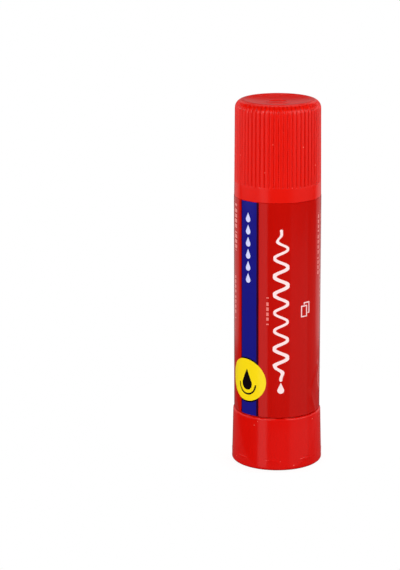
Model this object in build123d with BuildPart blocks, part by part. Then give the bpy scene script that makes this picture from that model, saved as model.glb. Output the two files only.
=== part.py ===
from build123d import *
import os
from math import cos, radians, sin

# A twist-up glue stick with its cap on, standing on its knob. Millimetres, +Z up, origin at the middle
# of the foot. Turning the knob turns the spindle, and the spindle's left-hand thread lifts the carrier
# and the glue inside the barrel, whose keys keep them from turning.

# Clearances, and how far cuts run past a face or ribs reach into a wall
running_clearance = 0.15
seat_clearance = 0.05
overrun = 1.0
embed = 0.3

# Heights, stacked from the foot up
knob_height = 12.6
knob_gap = 0.15
panel_length = 51.0
cap_length = 22.2
neck_length = 10.0
mouth_depth = 1.3

# Radii, worked outwards from the bore that the stick slides in
bore_radius = 7.95
neck_wall = 0.8
cap_wall = 1.13
panel_step = 0.05
label_thickness = 0.1
knob_step = 0.23
knob_flare = 0.3
spigot_wall = 1.16

# Cap
cap_taper = 0.16
cap_shoulder = 2.0
cap_crown = 0.85
cap_edge = 0.15
dish_depth = 0.7
gate_radius = 2.3
gate_rise = 0.12
stop_width = 0.8
band_height = 3.3
groove_count = 58
groove_width = 0.42
groove_depth = 0.28
groove_end_angle = 56

# Barrel
spigot_length = 5.75
web_thickness = 1.8
pocket_depth = 0.9
mouth_chamfer = 0.25
spigot_chamfer = 0.3
neck_bead_rise = 0.08
neck_bead_width = 1.0
neck_bead_height = 2.5
snap_rise = 0.2
snap_width = 1.0
snap_drop = 3.25
key_count = 4
key_width = 1.2
key_rise = 0.35
key_mouth_gap = 3.0
key_start_angle = 45

# Label
label_margin = 0.15
seam_gap = 0.6

# Knob
foot_recess = 0.8
foot_ring_width = 1.6
foot_edge_radius = 0.4
knob_floor = 1.2
knob_edge = 0.25
knob_mouth_chamfer = 0.3
hub_wall = 1.7
lug_count = 8
lug_width = 3.2
lug_depth = 1.6
lug_height = 1.25
lug_start_angle = -96.5

# Spindle
drive_radius = 1.9
journal_radius = 2.4
collar_overhang = 1.8
collar_thickness = 1.0
core_radius = 1.55
thread_rise = 0.8
thread_lead = 4.0
ridge_root_share = 0.425
ridge_crest_share = 0.225
thread_runout = 0.1
tip_length = 0.6
tip_taper_angle = 30

# Carrier
carrier_gap = 0.3
cup_height = 6.0
cup_floor = 1.2
rim_wall = 0.8
sleeve_wall = 0.8
nut_length = 4.5
fin_count = 4
fin_thickness = 0.7
fin_height = 3.0
end_margin = 3.6

# Glue
glue_edge_radius = 0.6
tip_room = 0.4

# Heights of the faces that pieces share
panel_bottom = knob_height + knob_gap
panel_top = panel_bottom + panel_length
mouth = panel_top + neck_length
cap_bottom = panel_top + seat_clearance
cap_top = cap_bottom + cap_length
glue_top = mouth - mouth_depth
spigot_bottom = panel_bottom - spigot_length
web_top = spigot_bottom + web_thickness
pocket_bottom = web_top - pocket_depth
knob_floor_top = foot_recess + knob_floor
hub_top = spigot_bottom - knob_gap
collar_bottom = web_top + seat_clearance
collar_top = collar_bottom + collar_thickness
carrier_bottom = collar_top + carrier_gap
cup_floor_top = carrier_bottom + cup_floor
cup_top = carrier_bottom + cup_height
nut_top = carrier_bottom + nut_length
travel = mouth - end_margin - cup_top
thread_top = nut_top + travel + thread_runout
snap_height = panel_bottom - snap_drop

# Radii of the faces that pieces share
neck_radius = bore_radius + neck_wall
cap_bore_radius = neck_radius + running_clearance
cap_radius = cap_bore_radius + cap_wall
panel_radius = cap_radius + panel_step
barrel_radius = panel_radius - label_thickness
knob_top_radius = panel_radius + knob_step
foot_radius = knob_top_radius + knob_flare
spigot_radius = bore_radius + spigot_wall
knob_bore_radius = spigot_radius + running_clearance
journal_bore_radius = journal_radius + seat_clearance
cup_radius = bore_radius - running_clearance
key_inner_radius = bore_radius - key_rise
notch_radius = key_inner_radius - running_clearance
rim_inner_radius = cup_radius - rim_wall
thread_radius = core_radius + thread_rise
nut_bore_radius = thread_radius + running_clearance
sleeve_radius = nut_bore_radius + sleeve_wall


def ridge_section(clearance):
    """Section of the one-start thread on the collar: round core and ridge, grown all round by a clearance."""
    root = core_radius + clearance
    crest = thread_radius + clearance
    half_root = 360 * (ridge_root_share / 2 + clearance / thread_lead)
    half_crest = 360 * (ridge_crest_share / 2 + clearance / thread_lead)
    crest_start, crest_end = [(crest * cos(radians(a)), crest * sin(radians(a))) for a in (-half_crest, half_crest)]
    root_start, root_end = [(root * cos(radians(a)), root * sin(radians(a))) for a in (-half_root, half_root)]
    with BuildSketch(Plane.XY.offset(collar_top)) as section:
        with BuildLine():
            ThreePointArc(crest_start, (crest, 0), crest_end)
            Line(crest_end, root_end)
            ThreePointArc(root_end, (-root, 0), root_start)
            Line(root_start, crest_start)
        make_face()
    return section.sketch.face()


def thread_solid(clearance, top):
    """The thread from the spindle's collar up to a height, as its section twisted left-handed on the way."""
    length = top - collar_top
    return Solid.extrude_linear_with_rotation(
        ridge_section(clearance), (0, 0, collar_top), (0, 0, length), -360 * length / thread_lead)


def round_bead(radius, rise, width, height):
    """Half section of a low rounded ring on a wall: its crest stands a rise outside the wall's radius."""
    with BuildSketch(Plane.XZ) as section:
        with BuildLine():
            arc = ThreePointArc(
                (radius, height - width / 2), (radius + rise, height), (radius, height + width / 2))
            Polyline(arc @ 1, (radius - embed, height + width / 2), (radius - embed, height - width / 2), arc @ 0)
        make_face()
    return section.sketch


def radial_bars(inner, outer, width, count, start_angle, height):
    """Bars that lie along radii on a level, from an inner to an outer radius."""
    with BuildSketch(Plane.XY.offset(height)) as section:
        with PolarLocations((inner + outer) / 2, count, start_angle):
            Rectangle(outer - inner, width)
    return section.sketch


def key_notches(height):
    """Grooves that pass over the barrel's keys, cut into whatever slides in the bore."""
    return radial_bars(notch_radius, bore_radius + overrun, key_width + 2 * running_clearance,
                       key_count, key_start_angle, height)


def cup_fins(height):
    """Bars across the cup, from inside the sleeve's wall to inside the rim's wall."""
    return radial_bars(sleeve_radius - embed, rim_inner_radius + embed, fin_thickness, fin_count, 0, height)


# Cap: a tapered shell with a rounded shoulder and a dished top, and a stop that lands on the barrel's mouth
crown_radius = cap_radius - cap_taper
shoulder_base = cap_top - cap_shoulder
rim_radius = crown_radius - cap_shoulder
dish_bottom = cap_top - dish_depth
ceiling = dish_bottom - cap_crown
stop_height = mouth + running_clearance
head_radius = cap_bore_radius - stop_width
groove_bottom = cap_bottom + band_height
band_radius = cap_radius - cap_taper * (groove_bottom - cap_bottom) / (shoulder_base - cap_bottom)
groove_end = (rim_radius + cap_shoulder * cos(radians(groove_end_angle)),
              shoulder_base + cap_shoulder * sin(radians(groove_end_angle)))

with BuildPart() as groove:
    with BuildSketch(Plane.XZ):
        with BuildLine():
            slope = Line((band_radius + overrun, groove_bottom - overrun),
                         (band_radius - groove_depth, groove_bottom + groove_depth))
            run = Line(slope @ 1, (crown_radius - groove_depth, shoulder_base))
            lift = TangentArc(run @ 1, groove_end, tangent=(0, 1))
            Polyline(lift @ 1, (groove_end[0], cap_top + overrun),
                     (band_radius + overrun, cap_top + overrun), slope @ 0)
        make_face()
    extrude(amount=groove_width / 2, both=True)

with BuildPart() as cap:
    with BuildSketch(Plane.XZ):
        with BuildLine():
            side = Line((cap_radius, cap_bottom), (crown_radius, shoulder_base))
            CenterArc((rim_radius, shoulder_base), cap_shoulder, 0, 90)
            dish = TangentArc((0, dish_bottom), (rim_radius, cap_top), tangent=(1, 0))
            Polyline(dish @ 0, (0, ceiling), (head_radius, ceiling), (head_radius, stop_height),
                     (cap_bore_radius, stop_height), (cap_bore_radius, cap_bottom), side @ 0)
        make_face()
    revolve(axis=Axis.Z)
    chamfer(cap.edges().filter_by(GeomType.CIRCLE).group_by(Axis.Z)[0], cap_edge)
    with BuildSketch(Plane.XY.offset(dish_bottom - embed)):
        Circle(gate_radius)
    extrude(amount=embed + gate_rise)
    with PolarLocations(0, groove_count):
        add(groove.part, mode=Mode.SUBTRACT)
cap.part.label = "cap"

# Barrel: the panel that carries the label, a neck for the cap above it and a spigot for the knob below,
# closed by a web that holds the spindle's journal and its seal
with BuildPart() as barrel:
    with BuildSketch(Plane.XZ):
        with BuildLine():
            Polyline((journal_bore_radius, spigot_bottom), (spigot_radius, spigot_bottom),
                     (spigot_radius, panel_bottom), (barrel_radius, panel_bottom),
                     (barrel_radius, panel_top), (neck_radius, panel_top), (neck_radius, mouth),
                     (bore_radius, mouth), (bore_radius, web_top), (journal_bore_radius, web_top), close=True)
        make_face()
    revolve(axis=Axis.Z)
    chamfer(barrel.edges().filter_by(GeomType.CIRCLE).group_by(Axis.Z)[-1], mouth_chamfer)
    chamfer(barrel.edges().filter_by(GeomType.CIRCLE).group_by(Axis.Z)[0].sort_by(SortBy.RADIUS)[-1],
            spigot_chamfer)
    add(round_bead(neck_radius, neck_bead_rise, neck_bead_width, panel_top + neck_bead_height))
    revolve(axis=Axis.Z)
    add(round_bead(spigot_radius, snap_rise, snap_width, snap_height))
    revolve(axis=Axis.Z)
    add(radial_bars(key_inner_radius, bore_radius + embed, key_width, key_count, key_start_angle, web_top))
    extrude(amount=mouth - key_mouth_gap - web_top)
    seal_section = pocket_depth - 2 * seat_clearance
    seal_ring_radius = journal_bore_radius + seal_section / 2
    with BuildSketch(Plane.XY.offset(web_top)):
        Circle(seal_ring_radius + seal_section / 2 + seat_clearance)
    extrude(amount=-pocket_depth, mode=Mode.SUBTRACT)
barrel.part.label = "barrel"

# Seal ring: lies round the journal in the web's pocket and keeps the glue from drying out
with BuildPart() as seal_ring:
    with BuildSketch(Plane.XZ):
        with Locations((seal_ring_radius, pocket_bottom + seat_clearance + seal_section / 2)):
            Circle(seal_section / 2)
    revolve(axis=Axis.Z)
seal_ring.part.label = "seal_ring"

# Label: a printed film wrapped once round the panel, with its seam at the back
with BuildPart() as label:
    with BuildSketch(Plane.XY.offset(panel_bottom + label_margin)):
        Circle(panel_radius)
        Circle(barrel_radius, mode=Mode.SUBTRACT)
        with Locations((0, panel_radius)):
            Rectangle(seam_gap, 2 * (label_thickness + embed), mode=Mode.SUBTRACT)
    extrude(amount=panel_length - 2 * label_margin)
label.part.label = "label"

# Knob: a cup that snaps over the barrel's spigot, with a hub for the spindle's drive and a ring to stand on
hub_radius = drive_radius + hub_wall
with BuildPart() as knob:
    with BuildSketch(Plane.XZ):
        with BuildLine():
            Polyline((foot_radius - foot_ring_width, 0), (foot_radius, 0), (knob_top_radius, knob_height),
                     (knob_bore_radius, knob_height), (knob_bore_radius, knob_floor_top),
                     (hub_radius, knob_floor_top), (hub_radius, hub_top), (0, hub_top), (0, foot_recess),
                     (foot_radius - foot_ring_width, foot_recess), close=True)
        make_face()
    revolve(axis=Axis.Z)
    rings = knob.edges().filter_by(GeomType.CIRCLE)
    top_rings = rings.group_by(Axis.Z)[-1].sort_by(SortBy.RADIUS)
    foot_rings = rings.group_by(Axis.Z)[0].sort_by(SortBy.RADIUS)
    fillet(foot_rings[-1], foot_edge_radius)
    chamfer(top_rings[-1], knob_edge)
    chamfer(top_rings[0], knob_mouth_chamfer)
    add(radial_bars(knob_bore_radius - lug_depth, knob_bore_radius + embed, lug_width,
                    lug_count, lug_start_angle, knob_floor_top))
    extrude(amount=lug_height)
    with BuildSketch(Plane.XY.offset(knob_floor_top)):
        RegularPolygon(radius=drive_radius + seat_clearance, side_count=6)
    extrude(amount=hub_top - knob_floor_top, mode=Mode.SUBTRACT)
    add(round_bead(knob_bore_radius, snap_rise, snap_width + 2 * running_clearance, snap_height))
    revolve(axis=Axis.Z, mode=Mode.SUBTRACT)
knob.part.label = "knob"

# Spindle: hexagonal drive, journal, collar, threaded shank and pointed tip
thread = thread_solid(0, thread_top)
with BuildPart() as spindle:
    with BuildSketch(Plane.XY.offset(knob_floor_top + seat_clearance)):
        RegularPolygon(radius=drive_radius, side_count=6)
    extrude(amount=hub_top - knob_floor_top - seat_clearance)
    with BuildSketch(Plane.XY.offset(hub_top)):
        Circle(journal_radius)
    extrude(amount=collar_bottom - hub_top)
    with BuildSketch(Plane.XY.offset(collar_bottom)):
        Circle(journal_radius + collar_overhang)
    extrude(amount=collar_thickness)
    add(thread)
    with BuildSketch(Plane.XY.offset(thread_top)):
        Circle(core_radius)
    extrude(amount=tip_length, taper=tip_taper_angle)
spindle.part.label = "spindle"

# Carrier: a cup for the foot of the glue, with the nut in its middle and notches for the barrel's keys
nut_thread = thread_solid(running_clearance, nut_top + overrun)
with BuildPart() as carrier:
    with BuildSketch(Plane.XY.offset(carrier_bottom)):
        Circle(cup_radius)
    extrude(amount=cup_height)
    with BuildSketch(Plane.XY.offset(cup_floor_top)):
        Circle(rim_inner_radius)
    extrude(amount=cup_height - cup_floor, mode=Mode.SUBTRACT)
    with BuildSketch(Plane.XY.offset(carrier_bottom)):
        Circle(sleeve_radius)
    extrude(amount=nut_length)
    add(cup_fins(cup_floor_top))
    extrude(amount=fin_height)
    add(key_notches(carrier_bottom))
    extrude(amount=cup_height, mode=Mode.SUBTRACT)
    add(nut_thread, mode=Mode.SUBTRACT)
carrier.part.label = "carrier"

# Glue: a cast stick that fills the cup and the bore, hollow over the spindle
bore_top = thread_top + tip_length + tip_room
with BuildPart() as glue:
    with BuildSketch(Plane.XY.offset(cup_floor_top)):
        Circle(rim_inner_radius)
    extrude(amount=cup_top - cup_floor_top)
    with BuildSketch(Plane.XY.offset(cup_top)):
        Circle(cup_radius)
    extrude(amount=glue_top - cup_top)
    fillet(glue.edges().filter_by(GeomType.CIRCLE).group_by(Axis.Z)[-1], glue_edge_radius)
    with BuildSketch(Plane.XY.offset(cup_floor_top)):
        Circle(sleeve_radius)
    extrude(amount=nut_top - cup_floor_top, mode=Mode.SUBTRACT)
    with BuildSketch(Plane.XY.offset(nut_top)):
        Circle(nut_bore_radius)
    extrude(amount=bore_top - nut_top, mode=Mode.SUBTRACT)
    add(cup_fins(cup_floor_top))
    extrude(amount=fin_height, mode=Mode.SUBTRACT)
    add(key_notches(cup_top))
    extrude(amount=glue_top - cup_top, mode=Mode.SUBTRACT)
glue.part.label = "glue"

os.makedirs("parts", exist_ok=True)
export_step(cap.part, "parts/cap.step")
export_step(barrel.part, "parts/barrel.step")
export_step(seal_ring.part, "parts/seal_ring.step")
export_step(label.part, "parts/label.step")
export_step(knob.part, "parts/knob.step")
export_step(spindle.part, "parts/spindle.step")
export_step(carrier.part, "parts/carrier.step")
export_step(glue.part, "parts/glue.step")

print("height", cap_top, "widest radius", foot_radius)
print("stick travel", travel, "turns", travel / thread_lead)
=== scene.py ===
import math

import bmesh
import bpy
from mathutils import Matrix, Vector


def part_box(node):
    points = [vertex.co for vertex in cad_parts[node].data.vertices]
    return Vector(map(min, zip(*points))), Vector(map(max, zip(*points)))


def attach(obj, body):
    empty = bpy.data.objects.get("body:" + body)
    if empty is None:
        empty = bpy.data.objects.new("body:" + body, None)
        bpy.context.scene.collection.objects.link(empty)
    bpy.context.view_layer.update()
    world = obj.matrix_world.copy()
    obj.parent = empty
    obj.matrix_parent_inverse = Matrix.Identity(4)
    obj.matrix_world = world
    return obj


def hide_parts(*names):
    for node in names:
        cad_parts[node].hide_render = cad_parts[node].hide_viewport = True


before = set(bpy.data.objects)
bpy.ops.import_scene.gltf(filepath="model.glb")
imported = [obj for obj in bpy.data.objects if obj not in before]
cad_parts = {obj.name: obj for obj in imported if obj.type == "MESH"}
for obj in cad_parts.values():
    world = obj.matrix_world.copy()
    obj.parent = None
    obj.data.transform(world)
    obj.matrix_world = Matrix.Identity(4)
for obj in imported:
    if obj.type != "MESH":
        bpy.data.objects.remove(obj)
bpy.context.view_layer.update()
print("frame loaded:", ", ".join(sorted(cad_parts)))

# The camera stands a little above the glue stick and a little to its left, as in the photograph
cameraLook = {
    "lens": 133.9,               # mm, for the sensor's width below
    "sensor": 36,
    "pitch": 14.86,              # degrees down
    "distance": 0.4944,          # along the view to the aim point
    "aimHeight": 0.04211,
    "offset": -0.0079,           # to the left of the stick's axis
    "shift": -0.0761,            # frames the stick right of the middle
    "nearest": 0.01,             # nothing closer than this is drawn
}


def placeCamera(look):
    pitch = math.radians(look["pitch"])
    back = look["distance"] * math.cos(pitch)
    up = look["aimHeight"] + look["distance"] * math.sin(pitch)
    bpy.ops.object.camera_add(location=(look["offset"], -back, up), rotation=(math.pi / 2 - pitch, 0, 0))
    camera = bpy.context.object
    camera.data.lens = look["lens"]
    camera.data.sensor_width = look["sensor"]
    camera.data.shift_x = look["shift"]
    camera.data.clip_start = look["nearest"]
    bpy.context.scene.camera = camera


placeCamera(cameraLook)
print("camera placed")


# Modelling by rings: a piece starts as an arc of a circle, which is extruded and scaled from one point of
# its outline to the next, shaped, and then copied round the axis
joinGap = 1e-6                   # vertices closer than this become one
ringGap = 2e-6                   # how near its ring's height a vertex is looked for
poleGap = 1e-5                   # and how near its pole
creaseAngle = math.radians(40)   # edges sharper than this stay sharp


def arcPoints(radius, height, reach, start, end, steps):       # points of a fillet, as (radius, height)
    angles = [math.radians(start + (end - start) * i / steps) for i in range(steps + 1)]
    return [(radius + reach * math.cos(a), height + reach * math.sin(a)) for a in angles]


def linePoints(start, end, steps):                             # points between two corners, ends left out
    return [(start[0] + (end[0] - start[0]) * i / steps, start[1] + (end[1] - start[1]) * i / steps)
            for i in range(1, steps)]


def beadPoints(radius, rise, middle, half, steps=3):           # a low round bead on a wall
    return [(radius + rise * math.cos(math.pi / 2 * i / steps), middle + half * i / steps)
            for i in range(-steps, steps + 1)]


def turned(angle, start):                                      # degrees from the start, -180 to 180
    return (angle - start + 180) % 360 - 180


def pick(piece, test):                                         # selects the vertices that pass the test
    bpy.ops.mesh.select_mode(type="VERT")
    bpy.ops.mesh.select_all(action="DESELECT")
    mesh = bmesh.from_edit_mesh(piece.data)
    found = 0
    for vertex in mesh.verts:
        x, y, z = vertex.co
        if test(math.hypot(x, y), math.degrees(math.atan2(y, x)), z):
            vertex.select = True
            found += 1
    mesh.select_flush_mode()
    bmesh.update_edit_mesh(piece.data)
    return found


def startArc(name, radius, height, sides, columns, turn):      # columns of a circle's sides, from an angle on
    bpy.ops.object.select_all(action="DESELECT")
    bpy.ops.mesh.primitive_circle_add(vertices=sides, radius=radius, location=(0, 0, height),
                                      rotation=(0, 0, math.radians(turn)))
    piece = bpy.context.object
    piece.name = name
    piece.data.name = name
    bpy.ops.object.transform_apply(location=True, rotation=True, scale=True)
    bpy.ops.object.mode_set(mode="EDIT")
    if columns < sides:
        step = 360 / sides
        pick(piece, lambda r, angle, z: (angle - turn + step / 2) % 360 > (columns + 1) * step)
        bpy.ops.mesh.delete(type="VERT")
    bpy.ops.mesh.select_all(action="SELECT")
    return piece


def extrudeAlong(outline):                                     # the selected ring follows the outline
    radius, height = outline[0]
    for newRadius, newHeight in outline[1:]:
        bpy.ops.mesh.extrude_region_move(TRANSFORM_OT_translate={"value": (0, 0, newHeight - height)})
        grow = newRadius / radius
        bpy.ops.transform.resize(value=(grow, grow, 1), center_override=(0, 0, newHeight))
        radius, height = newRadius, newHeight


def moveRing(piece, test, grow, lift, height):                 # pushes picked vertices in or out, and up
    if pick(piece, test):
        bpy.ops.transform.resize(value=(grow, grow, 1), center_override=(0, 0, height))
        if lift:
            bpy.ops.transform.translate(value=(0, 0, lift))


def copyRound(count):                                          # the sector becomes the whole piece
    bpy.ops.mesh.select_all(action="SELECT")
    bpy.ops.mesh.spin(steps=count - 1, dupli=True, angle=2 * math.pi * (count - 1) / count,
                      center=(0, 0, 0), axis=(0, 0, 1))


def closeUp(piece, poles=(), poleRadius=0.0):                  # joins seams, closes poles, faces outward
    bpy.ops.mesh.select_all(action="SELECT")
    bpy.ops.mesh.remove_doubles(threshold=joinGap)
    for pole in poles:
        pick(piece, lambda r, angle, z: r < poleRadius + poleGap and abs(z - pole) < poleGap)
        bpy.ops.mesh.merge(type="CENTER")
    bpy.ops.mesh.select_all(action="SELECT")
    bpy.ops.mesh.normals_make_consistent(inside=False)
    bpy.ops.object.mode_set(mode="OBJECT")
    bpy.ops.object.shade_smooth_by_angle(angle=creaseAngle)


def finishPiece(piece, node, body, material):
    piece.data.materials.clear()
    piece.data.materials.append(material)
    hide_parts(node)
    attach(piece, body)
    print("made", piece.name, len(piece.data.polygons), "faces")


# Materials: a wire is a node's output that can be used in sums, and a paint is one material's tree

def colour(red, green, blue):                                  # 0 to 255 as seen on a screen
    linear = [c / 12.92 if c <= 0.04045 else ((c + 0.055) / 1.055) ** 2.4
              for c in (red / 255, green / 255, blue / 255)]
    return (*linear, 1)


class Wire:
    def __init__(self, paint, socket):
        self.paint = paint
        self.socket = socket

    def __add__(self, other):
        return self.paint.maths("ADD", self, other)

    def __radd__(self, other):
        return self.paint.maths("ADD", other, self)

    def __sub__(self, other):
        return self.paint.maths("SUBTRACT", self, other)

    def __rsub__(self, other):
        return self.paint.maths("SUBTRACT", other, self)

    def __mul__(self, other):
        return self.paint.maths("MULTIPLY", self, other)

    def __rmul__(self, other):
        return self.paint.maths("MULTIPLY", other, self)

    def __truediv__(self, other):
        return self.paint.maths("DIVIDE", self, other)

    def __abs__(self):
        return self.paint.maths("ABSOLUTE", self)

    def __lt__(self, other):
        return self.paint.maths("LESS_THAN", self, other)

    def __gt__(self, other):
        return self.paint.maths("GREATER_THAN", self, other)

    def __or__(self, other):
        return self.paint.maths("MAXIMUM", self, other)

    def __and__(self, other):
        return self.paint.maths("MINIMUM", self, other)

    def between(self, start, end):                             # 1 between the two, and 0 elsewhere
        return (self > start) * (self < end)

    def clipped(self):                                         # kept from 0 to 1
        return (self & 1) | 0

    def sibling(self, output):                                 # another output of the same node
        return Wire(self.paint, self.socket.node.outputs[output])


class Paint:
    def __init__(self, name, store=bpy.data.materials):
        self.holder = store.new(name)
        self.holder.use_nodes = True
        self.tree = self.holder.node_tree
        self.tree.nodes.clear()

    def node(self, kind, settings=None, sockets=None, out=0):
        made = self.tree.nodes.new("ShaderNode" + kind)
        for key, value in (settings or {}).items():
            if key == "stops":                                 # places from 0 to 1, and how bright
                ramp = made.color_ramp.elements
                for place, tone in value[1:-1]:
                    ramp.new(place).color = (tone, tone, tone, 1)
                for stop, (place, tone) in zip((ramp[0], ramp[len(ramp) - 1]), (value[0], value[-1])):
                    stop.position = place
                    stop.color = (tone, tone, tone, 1)
            else:
                setattr(made, key, value)
        for key, value in (sockets or {}).items():
            if isinstance(value, Wire):
                self.tree.links.new(value.socket, made.inputs[key])
            else:
                made.inputs[key].default_value = value
        return Wire(self, made.outputs[out])

    def maths(self, operation, *terms):
        return self.node("Math", {"operation": operation}, dict(enumerate(terms)))

    def mix(self, amount, under, over):
        return self.node("Mix", {"data_type": "RGBA"}, {0: amount, 6: under, 7: over}, 2)

    def place(self):                                           # where a point of the piece is, in metres
        return self.node("TexCoord", out=3)

    def xyz(self):
        made = self.node("SeparateXYZ", sockets={0: self.place()})
        return [made.sibling(i) for i in range(3)]

    def noise(self, scale, detail=2.0, stretch=1.0):           # 0 to 1; a small stretch draws it out upwards
        where = self.node("Mapping", sockets={"Vector": self.place(), "Scale": (1, 1, stretch)})
        return self.node("TexNoise", sockets={"Vector": where, "Scale": scale, "Detail": detail})

    def bump(self, height, depth):
        return self.node("Bump", sockets={"Height": height, "Distance": depth, "Strength": 1.0})

    def surface(self, **sockets):
        named = {key.replace("_", " "): value for key, value in sockets.items()}
        return self.output(self.node("BsdfPrincipled", sockets=named))

    def output(self, shader, kind="Material"):
        end = self.tree.nodes.new("ShaderNodeOutput" + kind)
        self.tree.links.new(shader.socket, end.inputs["Surface"])
        return self.holder


redPlastic = {
    "deep": colour(223, 15, 3),      # the two tones of the flow marks
    "light": colour(230, 20, 5),
    "flowScale": 90,
    "flowStretch": 0.35,
    "roughness": 0.22,
    "roughnessChange": 0.08,         # between the two tones
    "specular": 0.4,
    "bumpDepth": 0.000003,           # and how much of it each of the next four gives
    "grain": 0.6,
    "scratches": 0.1,
    "specks": 3,
    "sinkMarks": 0.0,
    "grainScale": 2600,
    "scratchScale": 1800,
    "scratchStretch": 0.04,
    "sinkScale": 260,
    "speck": colour(255, 120, 105),
    "speckScale": 420,
    "speckSize": 0.06,
    "speckChance": 0.8,
    "speckStrength": 0.6,
    "speckRoughness": 0.2,
    "edgeHighlight": None,                # or the edge's height, and how far from it the painted highlight reaches
    # colour, patch size and contrast of the painted edge highlight, in light patches
    "edgeHighlightTint": colour(238, 84, 74),
    "edgeHighlightScale": 300,
    "edgeHighlightContrast": 2.6,
}


def mouldedPlastic(name, look):                                # flow marks, fine grain, specks, scratches, and a painted highlight along an edge
    paint = Paint(name)
    flow = paint.noise(look["flowScale"], 3.0, look["flowStretch"])
    grain = paint.noise(look["grainScale"])
    scratch = paint.noise(look["scratchScale"], 1.0, look["scratchStretch"])
    sink = paint.noise(look["sinkScale"], 1.0)
    cells = paint.node("TexVoronoi", sockets={"Vector": paint.place(), "Scale": look["speckScale"]})
    chance = paint.node("SeparateColor", sockets={0: cells.sibling("Color")})
    speck = (cells < look["speckSize"]) * (chance < look["speckChance"])
    base = paint.mix(flow, look["deep"], look["light"])
    base = paint.mix(speck * look["speckStrength"], base, look["speck"])
    # painted highlight: light patches along one edge, in place of its gloss line
    if look["edgeHighlight"]:
        edge, reach = look["edgeHighlight"]
        near = (1 - abs(paint.xyz()[2] - edge) / reach) | 0
        edgeHighlightPatches = ((paint.noise(look["edgeHighlightScale"], 1.0) - 0.5) * look["edgeHighlightContrast"]).clipped()
        base = paint.mix(near * edgeHighlightPatches, base, look["edgeHighlightTint"])
    rough = look["roughness"] + (flow - 0.5) * look["roughnessChange"] + speck * look["speckRoughness"]
    height = grain * look["grain"] + scratch * look["scratches"]
    height = height + speck * look["specks"] + sink * look["sinkMarks"]
    return paint.surface(Base_Color=base, Roughness=rough, Normal=paint.bump(height, look["bumpDepth"]),
                         Specular_IOR_Level=look["specular"])


# Cap: a shell with fine ribs over its wall and shoulder, a plain band below them and a dished top
capLook = {
    "ribs": 58,
    "columnsPerRib": 10,
    "turn": -90.04,                              # degrees, where a groove's middle lies
    "bandHeight": 0.0033,
    "bandUpright": 0.00012,                      # plain upright wall below the grooves
    "grooveDepth": 0.00024,
    "grooveShape": (1.0, 0.45, 0.1, 0.0, 0.0),   # share of the depth, from the groove's middle to the crest
    "grooveEnd": ((0.00004, 0.4), (0.0001, 0.9), (0.00018, 1.0)),    # height over the band, share of depth
    "grooveRings": 5,
    "grooveFadeStart": 52,                       # degrees up the shoulder
    "grooveFadeEnd": 64,
    "taper": 0.00016,
    "shoulder": 0.002,
    "shoulderTurn": 84,
    "shoulderRings": 14,
    "crownOut": 0.00004,                         # where the crown starts and ends, from its top line
    "crownIn": 0.0003,
    "dishDepth": 0.0007,
    "dishDrop": 0.00001,
    "dishRings": (0.9, 0.8, 0.65, 0.5, 0.38),    # shares of its radius
    "ringRadius": 0.0023,                        # a raised ring in the dish, round a gate mark
    "ringWidth": 0.00035,
    "ringRise": 0.00009,
    "gateFoot": 0.0012,
    "gateTop": 0.001,
    "poleRadius": 0.0005,
    "boreRadius": 0.0089,
    "boreEdge": 0.0002,
    "lipRound": 0.00005,
    "headRadius": 0.0081,
    "stopHeight": 0.0739,
    "ceiling": 0.08445,
    "innerRound": 0.0005,
}


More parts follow.
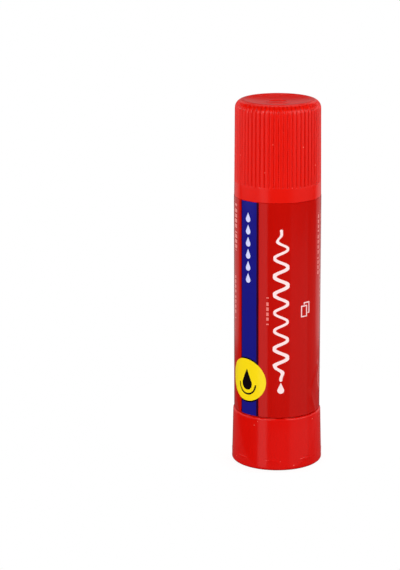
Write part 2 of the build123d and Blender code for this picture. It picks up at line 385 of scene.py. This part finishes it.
def buildCap(look):
    low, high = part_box("cap")
    wall = high.x
    crown = wall - look["taper"]
    shoulderBase = high.z - look["shoulder"]
    rim = crown - look["shoulder"]
    bandTop = low.z + look["bandHeight"]
    band = wall - look["taper"] * look["bandHeight"] / (shoulderBase - low.z)
    bore, head, stop, ceiling = look["boreRadius"], look["headRadius"], look["stopHeight"], look["ceiling"]
    edge, lip, inner, pole = look["boreEdge"], look["lipRound"], look["innerRound"], look["poleRadius"]

    def dishHeight(radius):
        return high.z - look["dishDepth"] * (1 - (radius / rim) ** 2)

    outline = [(pole, ceiling), (head / 2, ceiling)]
    outline += arcPoints(head - inner, ceiling - inner, inner, 90, 0, 4)
    outline += arcPoints(head + edge, stop + edge, edge, 180, 270, 3)
    outline += [(bore - edge, stop), (bore, stop - edge), (bore, low.z + edge), (bore + edge, low.z)]
    outline += arcPoints(wall - lip, low.z + lip, lip, 270, 360, 3)
    outline += [(wall, low.z + 2 * lip), (band, bandTop - look["bandUpright"]), (band, bandTop)]
    grooves = [(bandTop + above, share) for above, share in look["grooveEnd"]]
    start = grooves[-1][0]
    grooves += [(start + (shoulderBase - start) * i / look["grooveRings"], 1.0)
                for i in range(1, look["grooveRings"])]
    for height, share in grooves:
        outline.append((band - (band - crown) * (height - bandTop) / (shoulderBase - bandTop), height))
    shoulder = arcPoints(rim, shoulderBase, look["shoulder"], 0, look["shoulderTurn"], look["shoulderRings"])
    outline += shoulder
    outline += [(rim + look["crownOut"], high.z), (rim - look["crownIn"], high.z - look["dishDrop"])]
    outline += [(rim * share, dishHeight(rim * share) - look["dishDrop"]) for share in look["dishRings"]]
    ring, half, rise = look["ringRadius"], look["ringWidth"] / 2, look["ringRise"]
    outline += [(ring + half + rise, dishHeight(ring + 2 * half)), (ring + half, dishHeight(ring) + rise),
                (ring - half, dishHeight(ring) + rise), (ring - half - rise, dishHeight(ring - 2 * half))]
    outline += [(look["gateFoot"], dishHeight(look["gateTop"])), (look["gateTop"], dishHeight(pole) + rise),
                (pole, dishHeight(pole) + rise)]

    columns = look["columnsPerRib"]
    sides = look["ribs"] * columns
    piece = startArc("ribbedCap", *outline[0], sides, columns, look["turn"])
    extrudeAlong(outline)

    def column(angle):                                         # columns from the nearest groove's middle
        place = round(turned(angle, look["turn"]) / (360 / sides))
        return min(place, columns - place)

    rings = [(band, height, 0, share) for height, share in grooves]
    for i, (radius, height) in enumerate(shoulder):
        lean = look["shoulderTurn"] * i / look["shoulderRings"]
        fade = (look["grooveFadeEnd"] - lean) / (look["grooveFadeEnd"] - look["grooveFadeStart"])
        rings.append((radius, height, lean, max(0, min(1, fade))))
    for radius, height, lean, share in rings:
        inside = rim * look["dishRings"][0] if height > ceiling else bore
        for place, shape in enumerate(look["grooveShape"]):
            depth = look["grooveDepth"] * shape * share
            if depth:
                moveRing(piece, lambda r, angle, z: abs(z - height) < ringGap and r > inside
                         and column(angle) == place,
                         1 - depth * math.cos(math.radians(lean)) / radius,
                         -depth * math.sin(math.radians(lean)), height)
    copyRound(look["ribs"])
    closeUp(piece, (ceiling, outline[-1][1]), pole)
    return piece


finishPiece(buildCap(capLook), "cap", "cap", mouldedPlastic("capPlastic", redPlastic))


# Knob: a flared cup on a foot ring, with faint ledges where its inner lugs lie
knobLook = {
    "ledges": 8,
    "columnsPerLedge": 45,
    "ledgeTurn": -96.5,
    "ledgeHalfAngle": 8.7,
    "ledgeTop": 0.0025,
    "ledgeRise": 0.00005,
    "ledgeShape": ((0.0007, 0.3), (0.00016, 0.9), (0.00006, 1.0)),   # depth below its top, share of the rise
    "wallRings": (0.0007, 0.0012, 0.0026, 0.0045, 0.008),
    "boxGap": 0.000001,              # to the CAD shape's box
    "footRing": 0.0016,
    "footRecess": 0.0008,
    "footRound": 0.0005,
    "footInnerRound": 0.0001,
    "flare": 0.0003,
    "topRound": 0.0004,
    "topRing": 0.00052,              # how far below the top the last ring of the wall lies
    "boreRadius": 0.00926,
    "mouthChamfer": 0.0003,
    "floorTop": 0.002,
    "hubRadius": 0.0036,
    "hubTop": 0.00685,
    "socketRadius": 0.00195,
    "socketFloor": 0.0021,
    "innerRound": 0.0004,
    "poleRadius": 0.0005,
}


def buildKnob(look):
    low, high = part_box("knob")
    foot = min(high.x, high.y, -low.x, -low.y) - look["boxGap"]
    recess, under, pole = foot - look["footRing"], look["footRecess"], look["poleRadius"]
    bore, mouth, floor = look["boreRadius"], look["mouthChamfer"], look["floorTop"]
    hub, hubTop, inner = look["hubRadius"], look["hubTop"], look["innerRound"]
    socket, socketFloor = look["socketRadius"], look["socketFloor"]
    large, small, bend = look["footRound"], look["footInnerRound"], look["topRound"]
    ledge = [(look["ledgeTop"] - down, share) for down, share in look["ledgeShape"]]

    outline = [(pole, under)] + arcPoints(recess - inner, under - inner, inner, 90, 0, 3)
    outline += arcPoints(recess + small, small, small, 180, 270, 3)
    outline += arcPoints(foot - large, large, large, 270, 360, 7)
    heights = [*look["wallRings"], look["ledgeTop"], high.z - look["topRing"]]
    heights += [height for height, share in ledge]
    outline += [(foot - look["flare"] * height / high.z, height) for height in sorted(heights)]
    outline += arcPoints(foot - look["flare"] - bend, high.z - bend, bend, 0, 90, 5)
    outline += [(bore + mouth, high.z), (bore, high.z - mouth)]
    outline += arcPoints(bore - inner, floor + inner, inner, 360, 270, 3)
    outline += arcPoints(hub + inner, floor + inner, inner, 270, 180, 3)
    outline += [(hub, hubTop), (socket, hubTop), (socket, socketFloor), (pole, socketFloor)]

    sides = look["ledges"] * look["columnsPerLedge"]
    turn = look["ledgeTurn"] - 180 / look["ledges"]
    piece = startArc("turningKnob", *outline[0], sides, look["columnsPerLedge"], turn)
    extrudeAlong(outline)
    for height, share in ledge:
        moveRing(piece, lambda r, angle, z: abs(z - height) < ringGap and r > bore
                 and abs(turned(angle, look["ledgeTurn"])) < look["ledgeHalfAngle"],
                 1 + look["ledgeRise"] * share / foot, 0, height)
    copyRound(look["ledges"])
    closeUp(piece, (under, socketFloor), pole)
    return piece


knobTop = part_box("knob")[1].z
# the knob's top edge gets light patches of painted highlight
finishPiece(buildKnob(knobLook), "knob", "knob",
            mouldedPlastic("knobPlastic", redPlastic | {
                "deep": colour(213, 9, 2), "light": colour(219, 13, 5), "roughness": 0.18, "sinkMarks": 4,
                "edgeHighlight": (knobTop, 0.0004)}))


# Barrel: neck, panel, spigot and web, with the keys that guide the stick
barrelLook = {
    "columns": 256,
    "neckRadius": 0.00875,
    "boreRadius": 0.00795,
    "mouthRound": 0.00025,
    "panelBottom": 0.01275,
    "panelTop": 0.06375,
    "panelEdge": 0.0001,
    "spigotRadius": 0.00911,
    "spigotBottom": 0.007,
    "spigotEdge": 0.0003,
    "webTop": 0.0088,
    "journalRadius": 0.00245,
    "pocketRadius": 0.0033,
    "pocketDepth": 0.0009,
    "beadHeight": 0.0025,        # over the panel
    "beadWidth": 0.001,
    "beadRise": 0.00008,
    "snapHeight": 0.0095,
    "snapRise": 0.0002,
    "keys": 4,
    "keyTurn": 45,               # degrees, where the first one lies
    "keyWidth": 0.0012,
    "keyRise": 0.00035,
    "keyMouthGap": 0.003,
    "keyRound": 0.00012,
}


def buildBarrel(look):
    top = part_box("barrel")[1].z
    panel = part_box("barrel")[1].x
    neck, bore, mouth = look["neckRadius"], look["boreRadius"], look["mouthRound"]
    start, end, edge = look["panelBottom"], look["panelTop"], look["panelEdge"]
    spigot, foot, chamfer = look["spigotRadius"], look["spigotBottom"], look["spigotEdge"]
    web, journal, pocket = look["webTop"], look["journalRadius"], look["pocketRadius"]
    half = look["beadWidth"] / 2
    outline = [(journal, foot), (spigot - chamfer, foot), (spigot, foot + chamfer)]
    outline += beadPoints(spigot, look["snapRise"], look["snapHeight"], half)
    outline += [(spigot, start), (panel - edge, start), (panel, start + edge), (panel, end - edge),
                (panel - edge, end), (neck + edge, end), (neck, end + edge)]
    outline += beadPoints(neck, look["beadRise"], end + look["beadHeight"], half)
    outline += arcPoints(neck - mouth, top - mouth, mouth, 0, 90, 5)
    outline += arcPoints(bore + mouth, top - mouth, mouth, 90, 180, 5)
    outline += [(bore, web), (pocket, web), (pocket, web - look["pocketDepth"]),
                (journal, web - look["pocketDepth"]), outline[0]]
    piece = startArc("barrelTube", *outline[0], look["columns"], look["columns"], 0)
    extrudeAlong(outline)
    closeUp(piece)

    keyLength = top - look["keyMouthGap"] - web
    for i in range(look["keys"]):
        angle = math.radians(look["keyTurn"] + 360 * i / look["keys"])
        bpy.ops.object.select_all(action="DESELECT")
        bpy.ops.mesh.primitive_cube_add(size=1)
        key = bpy.context.object
        key.scale = (2 * look["keyRise"], look["keyWidth"], keyLength)
        key.rotation_euler = (0, 0, angle)
        key.location = (bore * math.cos(angle), bore * math.sin(angle), web + keyLength / 2)
        bpy.ops.object.transform_apply(location=True, rotation=True, scale=True)
        bpy.ops.object.mode_set(mode="EDIT")
        bpy.ops.mesh.select_all(action="SELECT")
        bpy.ops.mesh.bevel(offset=look["keyRound"], segments=2, affect="EDGES")
        bpy.ops.object.mode_set(mode="OBJECT")
        bpy.ops.object.shade_smooth_by_angle(angle=creaseAngle)
        piece.select_set(True)
        bpy.context.view_layer.objects.active = piece
        bpy.ops.object.join()
    return piece


finishPiece(buildBarrel(barrelLook), "barrel", "barrel",
            mouldedPlastic("barrelPlastic", redPlastic | {
                "deep": colour(196, 12, 8), "light": colour(206, 17, 11), "speckChance": 0.0}))


# Label: a printed film wrapped once round the barrel, with its seam at the back
labelLook = {
    "columns": 240,
    "seamColumns": 2,
    "rings": 80,
    "top": 0.06373,
    "thickness": 0.0001,
    "lip": 0.00002,
    "margin": 0.0001,            # from an edge to the first ring of the plain film
    # creases in the film: angle from the front, height, how far each runs across and up, how far it rises
    "creases": ((60, 0.0212, (0.0039, 0.0062), 0.00015), (55.5, 0.0153, (-0.0022, 0.0054), 0.00013),
                (-65, 0.0145, (-0.0024, 0.0046), 0.0001), (128, 0.03, (0.001, 0.005), 0.00006),
                (-150, 0.052, (-0.002, 0.004), 0.00006)),
    "creaseHalfAngle": 0.8,
    "creaseReach": 0.0012,
}


def buildLabel(look):
    low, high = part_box("label")
    radius = high.x
    top, lip, margin = look["top"], look["lip"], look["margin"]
    outline = [(radius - lip, low.z), (radius, low.z + lip), (radius, low.z + margin)]
    outline += linePoints(outline[-1], (radius, top - margin), look["rings"])
    outline += [(radius, top - margin), (radius, top - lip), (radius - lip, top)]
    turn = 90 + look["seamColumns"] * 180 / look["columns"]
    piece = startArc("labelFilm", *outline[0], look["columns"], look["columns"] - look["seamColumns"], turn)
    extrudeAlong(outline)
    bpy.ops.mesh.select_all(action="SELECT")
    bpy.ops.mesh.normals_make_consistent(inside=False)
    for angle, height, (across, up), rise in look["creases"]:
        def onCrease(r, around, z):
            along = (z - height) / up
            middle = angle + along * math.degrees(across / radius)
            return abs(along) < 0.5 and abs(turned(around + 90, middle)) < look["creaseHalfAngle"]
        if pick(piece, onCrease):
            grow = 1 + rise / radius
            bpy.ops.transform.resize(value=(grow, grow, 1), center_override=(0, 0, height),
                                     use_proportional_edit=True, proportional_edit_falloff="SHARP",
                                     proportional_size=look["creaseReach"])
    bpy.ops.object.mode_set(mode="OBJECT")
    thick = piece.modifiers.new("film", "SOLIDIFY")
    thick.thickness = look["thickness"] - lip
    thick.offset = -1
    bpy.ops.object.modifier_apply(modifier="film")
    bpy.ops.object.shade_smooth_by_angle(angle=creaseAngle)
    return piece


millimetres = 1000               # in a metre
labelPrint = {                   # places and sizes in mm, across from the front and up from the foot
    "red": colour(191, 8, 0),
    "blue": colour(27, 24, 128),
    "edge": colour(45, 0, 30),
    "yellow": colour(255, 223, 22),
    "ink": colour(16, 8, 12),
    "white": colour(255, 226, 226),
    "pale": colour(216, 218, 255),
    "faint": colour(240, 132, 124),
    "stripe": (-9.55, -5.15),
    "stripeEdge": (0.3, 0.58),
    "stripeDrops": (-7.5, 45.3, 6, 2.85, 0.68),                # middle, first, count, pitch, radius
    "badge": (-8.05, 21.26, 5.35, 5.06),                       # middle, half sizes
    "badgeEdge": 1.07,                                         # its dark line on the stripe, to the badge's 1
    "badgeDrop": (0.2, -0.9, 1.5),                             # place on the badge, radius
    "badgeArc": (2.3, 2.7),                                    # inner and outer radius round the drop
    "bead": (0.75, 22.0, 57.4, 4.3, 1.5, 0.36),                # middle, start, end, period, swing, half width
    "beadEase": 4.0,                                           # over which the swing grows and fades
    "beadSwell": (0.23, 0.18),                                 # waves of its width to one swing, their share
    "beadDrop": (0.75, 19.5, 0.78),                            # middle, radius
    "dropTip": 2.4,                                            # how many radii up a drop's tip is
    "sheets": (6.9, 38.4, 1.25, 1.75, 0.28, 0.75, 0.168),      # middle, half sizes, line, offset, gap
    "sheetStrength": 0.9,
    "rules": ((-12.8, 1.5, 50.4, 62.6), (-13.0, 0.8, 34.8, 45.2), (-2.4, 0.55, 35.2, 42.0),
              (11.9, 0.6, 45.5, 60.6), (13.5, 0.5, 40.0, 60.6), (14.8, 0.5, 40.0, 60.6),
              (-17.5, 0.6, 18.0, 58.0), (-19.2, 0.6, 18.0, 58.0), (-20.9, 0.6, 18.0, 46.0),
              (20.5, 0.7, 30.0, 58.0), (22.4, 0.7, 36.0, 58.0)),    # middle, width, from, to
    "ruleBars": (0.83, 0.68),                                  # bars to the mm, how much of each is filled
    "ruleGaps": (0.19, 0.37, 0.86),                            # gaps to the mm, their shift, how much is kept
    "ruleStrength": 0.95,
    "rings": ((16.2, 20.5, 3.3, 3.9), (16.2, 20.5, 1.9, 2.3)), # middle, inner and outer radius
    "ringStrength": 0.7,
    "roughness": 0.13,
    "roughnessScale": 240,
    "roughnessChange": 0.08,
    "waveScale": 380,
    "waveStretch": 0.08,
    "waveDepth": 0.00002,
    "specular": 0.32,
}


class PrintPlace:                                              # a place on the film that can be asked about
    def __init__(self, paint, across, up, tip):
        self.paint = paint
        self.across = across
        self.up = up
        self.tip = tip

    def far(self, x, y, wide=1, tall=1):                       # mm from a point, or 1 on the edge of an oval
        right, above = (self.across - x) / wide, (self.up - y) / tall
        return self.paint.maths("SQRT", right * right + above * above)

    def drop(self, x, y, radius):                              # a round drop with its tip upwards
        above = self.up - y
        slope = math.tan(math.asin(1 / self.tip))
        cone = abs(self.across - x) < (self.tip * radius - above) * slope
        cone = cone * above.between(radius / self.tip, self.tip * radius)
        return (self.far(x, y, radius, radius) < 1) | cone

    def bead(self, x, start, end, period, swing, half, ease, often, share):    # a wavy line with round ends
        turn = (self.up - start) * (2 * math.pi / period)
        near = (self.up - start) & (end - self.up) & ease
        grown = self.paint.maths("SINE", near * (math.pi / 2 / ease))
        sway = grown * grown * swing
        slope = self.paint.maths("COSINE", turn) * sway * (2 * math.pi / period)
        off = abs(self.across - x - self.paint.maths("SINE", turn) * sway)
        width = self.paint.maths("SINE", turn * often) * (half * share) + half
        line = (off / self.paint.maths("SQRT", slope * slope + 1) < width) * self.up.between(start, end)
        return line | (self.far(x, start, half, half) < 1) | (self.far(x, end, half, half) < 1)

    def box(self, x, y, wide, tall):                           # distance to a rectangle, below 0 inside it
        return (abs(self.across - x) - wide) | (abs(self.up - y) - tall)

    def sheets(self, x, y, wide, tall, line, apart, gap):      # outlines of two sheets that overlap
        half = apart / 2
        front = self.box(x - half, y - half, wide - half, tall - half)
        back = self.box(x + half, y + half, wide - half, tall - half)
        return front.between(-line, 0) | back.between(-line, 0) * (front > gap)

    def rule(self, x, width, start, end, bars, gaps):          # a row of short plain bars
        filled = self.paint.maths("FRACT", self.up * bars[0]) < bars[1]
        kept = self.paint.maths("FRACT", self.up * gaps[0] + x * gaps[1]) < gaps[2]
        within = self.across.between(x - width / 2, x + width / 2) * self.up.between(start, end)
        return within * filled * kept


def printedFilm(name, look):
    paint = Paint(name)
    toRight, toBack, up = paint.xyz()
    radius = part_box("label")[1].x * millimetres
    across = paint.maths("ARCTAN2", toRight, 0 - toBack) * radius
    film = PrintPlace(paint, across, up * millimetres, look["dropTip"])
    left, right = look["stripe"]
    edgeLeft, edgeRight = look["stripeEdge"]
    base = paint.mix(across.between(left - edgeLeft, right + edgeRight), look["red"], look["edge"])
    onStripe = across.between(left, right)
    base = paint.mix(onStripe, base, look["blue"])
    middle, first, count, pitch, radius = look["stripeDrops"]
    for i in range(count):
        base = paint.mix(film.drop(middle, first + pitch * i, radius), base, look["pale"])
    for place in look["rules"]:
        rule = film.rule(*place, look["ruleBars"], look["ruleGaps"])
        base = paint.mix(rule * look["ruleStrength"], base, look["faint"])
    for x, y, inner, outer in look["rings"]:
        ring = film.far(x, y).between(inner, outer)
        base = paint.mix(ring * look["ringStrength"], base, look["faint"])
    base = paint.mix(film.sheets(*look["sheets"]) * look["sheetStrength"], base, look["white"])
    bead = film.bead(*look["bead"], look["beadEase"], *look["beadSwell"]) | film.drop(*look["beadDrop"])
    base = paint.mix(bead, base, look["white"])
    x, y, wide, tall = look["badge"]
    badge = film.far(x, y, wide, tall)
    base = paint.mix((badge < look["badgeEdge"]) * onStripe, base, look["ink"])
    base = paint.mix(badge < 1, base, look["yellow"])
    dropX, dropY, radius = look["badgeDrop"]
    arc = film.far(x + dropX, y + dropY).between(*look["badgeArc"]) * (film.up < y + dropY)
    base = paint.mix(film.drop(x + dropX, y + dropY, radius) | arc, base, look["ink"])
    rough = look["roughness"] + (paint.noise(look["roughnessScale"]) - 0.5) * look["roughnessChange"]
    waves = paint.noise(look["waveScale"], stretch=look["waveStretch"])
    return paint.surface(Base_Color=base, Roughness=rough, Normal=paint.bump(waves, look["waveDepth"]),
                         Specular_IOR_Level=look["specular"])


finishPiece(buildLabel(labelLook), "label", "barrel", printedFilm("printedFilm", labelPrint))


# Glue: the cast stick, grooved by the barrel's keys and slightly sunken on top
glueLook = {
    "columnsPerQuarter": 90,
    "rings": 12,
    "sleeveRadius": 0.0033,
    "cupRadius": 0.007,
    "cupFloor": 0.01135,
    "cupTop": 0.01615,
    "nutTop": 0.01465,
    "boreRadius": 0.0025,
    "boreTop": 0.0698,
    "topRound": 0.0006,
    "sink": 0.00035,
    "sinkRings": (0.8, 0.6, 0.4, 0.2),           # shares of the radius
    "sinkStart": 0.92,
    "grooveTurn": 45,                            # degrees, where the first one lies
    "grooveHalfAngle": 5.6,
    "grooveDepth": 0.00035,
    "grooveInside": 0.0071,                      # the rings further in keep their place
    "poleRadius": 0.0004,
    "deep": colour(229, 226, 214),
    "light": colour(240, 238, 230),
    "cloudScale": 160,
    "streakScale": 700,
    "streakStretch": 0.12,
    "bumpDepth": 0.00004,
    "streaks": 0.6,                              # shares of the bump
    "clouds": 0.4,
    "roughness": 0.42,
    "roughnessChange": 0.15,
    "scatter": 0.35,
    "scatterReach": (0.0012, 0.001, 0.0008),
}


def buildGlue(look):
    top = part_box("glue")[1].z
    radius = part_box("glue")[1].x
    bore, sleeve, cup, bend = look["boreRadius"], look["sleeveRadius"], look["cupRadius"], look["topRound"]
    boreTop, nutTop, cupFloor, cupTop = look["boreTop"], look["nutTop"], look["cupFloor"], look["cupTop"]
    pole, sink = look["poleRadius"], look["sink"]
    outline = [(pole, boreTop), (bore, boreTop), (bore, nutTop), (sleeve, nutTop), (sleeve, cupFloor),
               (cup, cupFloor), (cup, cupTop), (radius, cupTop)]
    outline += linePoints((radius, cupTop), (radius, top - bend), look["rings"])
    outline += arcPoints(radius - bend, top - bend, bend, 0, 90, 6)
    outline += [(radius * share, top - sink * (1 - (share / look["sinkStart"]) ** 2))
                for share in look["sinkRings"]]
    outline += [(pole, top - sink)]
    quarter = look["columnsPerQuarter"]
    piece = startArc("glueMass", *outline[0], 4 * quarter, quarter, 0)
    extrudeAlong(outline)
    moveRing(piece, lambda r, angle, z: r > look["grooveInside"] and z > cupTop - ringGap
             and abs(angle - look["grooveTurn"]) < look["grooveHalfAngle"],
             1 - look["grooveDepth"] / radius, 0, cupTop)
    copyRound(4)
    closeUp(piece, (boreTop, outline[-1][1]), pole)
    return piece


def waxyGlue(name, look):
    paint = Paint(name)
    cloud = paint.noise(look["cloudScale"], 3.0)
    streak = paint.noise(look["streakScale"], stretch=look["streakStretch"])
    base = paint.mix(cloud, look["deep"], look["light"])
    rough = look["roughness"] + (cloud - 0.5) * look["roughnessChange"]
    height = streak * look["streaks"] + cloud * look["clouds"]
    return paint.surface(Base_Color=base, Roughness=rough, Normal=paint.bump(height, look["bumpDepth"]),
                         Subsurface_Weight=look["scatter"], Subsurface_Radius=look["scatterReach"],
                         Subsurface_Scale=1.0)


finishPiece(buildGlue(glueLook), "glue", "stick", waxyGlue("waxyGlue", glueLook))


# Inner pieces keep their own shape and get their finish
innerLook = redPlastic | {
    "deep": colour(226, 226, 219), "light": colour(238, 238, 232), "speckChance": 0.0, "roughness": 0.38}
rubberLook = {
    "deep": colour(38, 38, 40),
    "light": colour(54, 54, 56),
    "grainScale": 3000,
    "bumpDepth": 0.00001,
    "roughness": 0.62,
    "roughnessChange": 0.1,
}


def softRubber(name, look):
    paint = Paint(name)
    grain = paint.noise(look["grainScale"])
    base = paint.mix(grain, look["deep"], look["light"])
    rough = look["roughness"] + (grain - 0.5) * look["roughnessChange"]
    return paint.surface(Base_Color=base, Roughness=rough, Normal=paint.bump(grain, look["bumpDepth"]))


innerPlastic = mouldedPlastic("innerPlastic", innerLook)
sealRubber = softRubber("sealRubber", rubberLook)
for node, material in {"spindle": innerPlastic, "carrier": innerPlastic, "seal_ring": sealRubber}.items():
    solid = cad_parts[node]
    solid.data.materials.clear()
    solid.data.materials.append(material)
print("inner pieces painted")


# Stage: a white floor, soft lamps, and a dim room that is white to the eye
stageLook = {
    "floorRadius": 0.042,
    "floorSides": 96,
    "floorBack": 0.03,           # the disc's middle, behind the stick
    "floorTone": 0.09,
    "floorGlow": 0.92,
    "floorGloss": 0.03,          # how much of the glow shows in gloss
    # the room in gloss and as fill light: how high a direction points, from -1 to 1, and how bright it is
    "room": ((-1, 0.08), (-0.33, 0.12), (-0.27, 0.25), (-0.25, 0.2), (-0.23, 0.06), (-0.2, 0.03),
             (-0.12, 0.05), (-0.05, 0.25), (0.2, 0.25), (0.3, 0.05), (1, 0.04)),
    "leftFall": 0.9,             # how fast the room darkens to the left
    "lampAim": 0.045,            # height on the stick that all lamps point at
    # lamps: azimuth and elevation seen from the stick, distance, width, height, glow, shown in gloss
    "lamps": {
        "keyLeft": (-38, 14, 0.62, 0.42, 0.22, 7.4, False),
        "keyRight": (55, 14, 0.62, 0.5, 0.22, 5.55, False),
        "shineLeft": (-38, 28, 0.62, 0.42, 0.22, 2.3, True),
        "shineRight": (55, 28, 0.62, 0.5, 0.22, 2.2, True),
        "sideLeft": (-105, 20, 0.62, 0.4, 0.3, 2.9, False),
        "sideRight": (118, 20, 0.62, 0.4, 0.3, 4.2, False),
        "behind": (180, 45, 0.7, 0.6, 0.3, 4.4, False),
        "above": (180, 62, 0.6, 0.4, 0.3, 0.7, True),
        "stripLeft": (-38, -8, 0.42, 0.163, 0.5, 0.62, True),
        "wallLeft": (-80, 4.0, 0.42, 0.5, 0.21, 0.54, True),
        "wallRight": (70, 5.5, 0.42, 0.6, 0.2, 0.5, True),
        "lowRight": (60, -20, 0.42, 0.4, 0.12, 0.18, True),
        "edgeLeft": (-140, 2, 0.35, 0.227, 0.265, 0.36, True),
        "edgeRight": (140, 2, 0.35, 0.227, 0.265, 0.38, True),
        "rimLeft": (-157, 24, 0.6, 0.24, 0.18, 0.5, True),
        "rimRight": (157, 24, 0.6, 0.24, 0.18, 0.5, True),
    },
}


def whiteFloor(look):                                          # white to the eye, dimmer in gloss
    paint = Paint("whiteFloor")
    rays = paint.node("LightPath")
    inGloss = rays.sibling("Is Glossy Ray") | rays.sibling("Is Transmission Ray")
    seen = rays.sibling("Is Camera Ray") + inGloss * look["floorGloss"]
    tone = look["floorTone"]
    matt = paint.node("BsdfDiffuse", sockets={"Color": (tone, tone, tone, 1)})
    glow = paint.node("Emission", sockets={"Strength": seen * look["floorGlow"]})
    return paint.output(paint.node("AddShader", sockets={0: matt, 1: glow}))


def dimRoom(look):                                             # white to the eye, dim for everything else
    paint = Paint("dimRoom", bpy.data.worlds)
    across = paint.node("SeparateXYZ", sockets={0: paint.node("TexCoord")})
    upward = across.sibling(2)
    stops = [((height + 1) / 2, level) for height, level in look["room"]]
    level = paint.node("ValToRGB", {"stops": stops}, {0: (upward + 1) / 2})
    fall = (across * look["leftFall"] + 1).clipped()
    seen = paint.node("LightPath").sibling("Is Camera Ray") | level * fall
    white = paint.node("Background", sockets={"Color": (1, 1, 1, 1), "Strength": seen})
    return paint.output(white, "World")


def buildStage(look):
    bpy.ops.object.select_all(action="DESELECT")
    bpy.ops.mesh.primitive_circle_add(vertices=look["floorSides"], radius=look["floorRadius"],
                                      fill_type="NGON", location=(0, look["floorBack"], 0))
    floor = bpy.context.object
    floor.name = "floor"
    floor.data.materials.append(whiteFloor(look))
    bpy.context.scene.world = dimRoom(look)


def hangLamps(look):
    for name, (azimuth, elevation, away, wide, tall, glow, inGloss) in look["lamps"].items():
        around, upward = math.radians(azimuth), math.radians(elevation)
        place = (away * math.sin(around) * math.cos(upward), -away * math.cos(around) * math.cos(upward),
                 look["lampAim"] + away * math.sin(upward))
        bpy.ops.object.light_add(type="AREA", location=place, rotation=(math.pi / 2 - upward, 0, around))
        lamp = bpy.context.object
        lamp.name = name
        lamp.data.shape = "RECTANGLE"
        lamp.data.size = wide
        lamp.data.size_y = tall
        lamp.data.energy = glow * math.pi * wide * tall
        lamp.visible_camera = False
        lamp.visible_glossy = inGloss


buildStage(stageLook)
hangLamps(stageLook)
bpy.context.scene.view_settings.view_transform = "Standard"
print("stage and lamps ready")
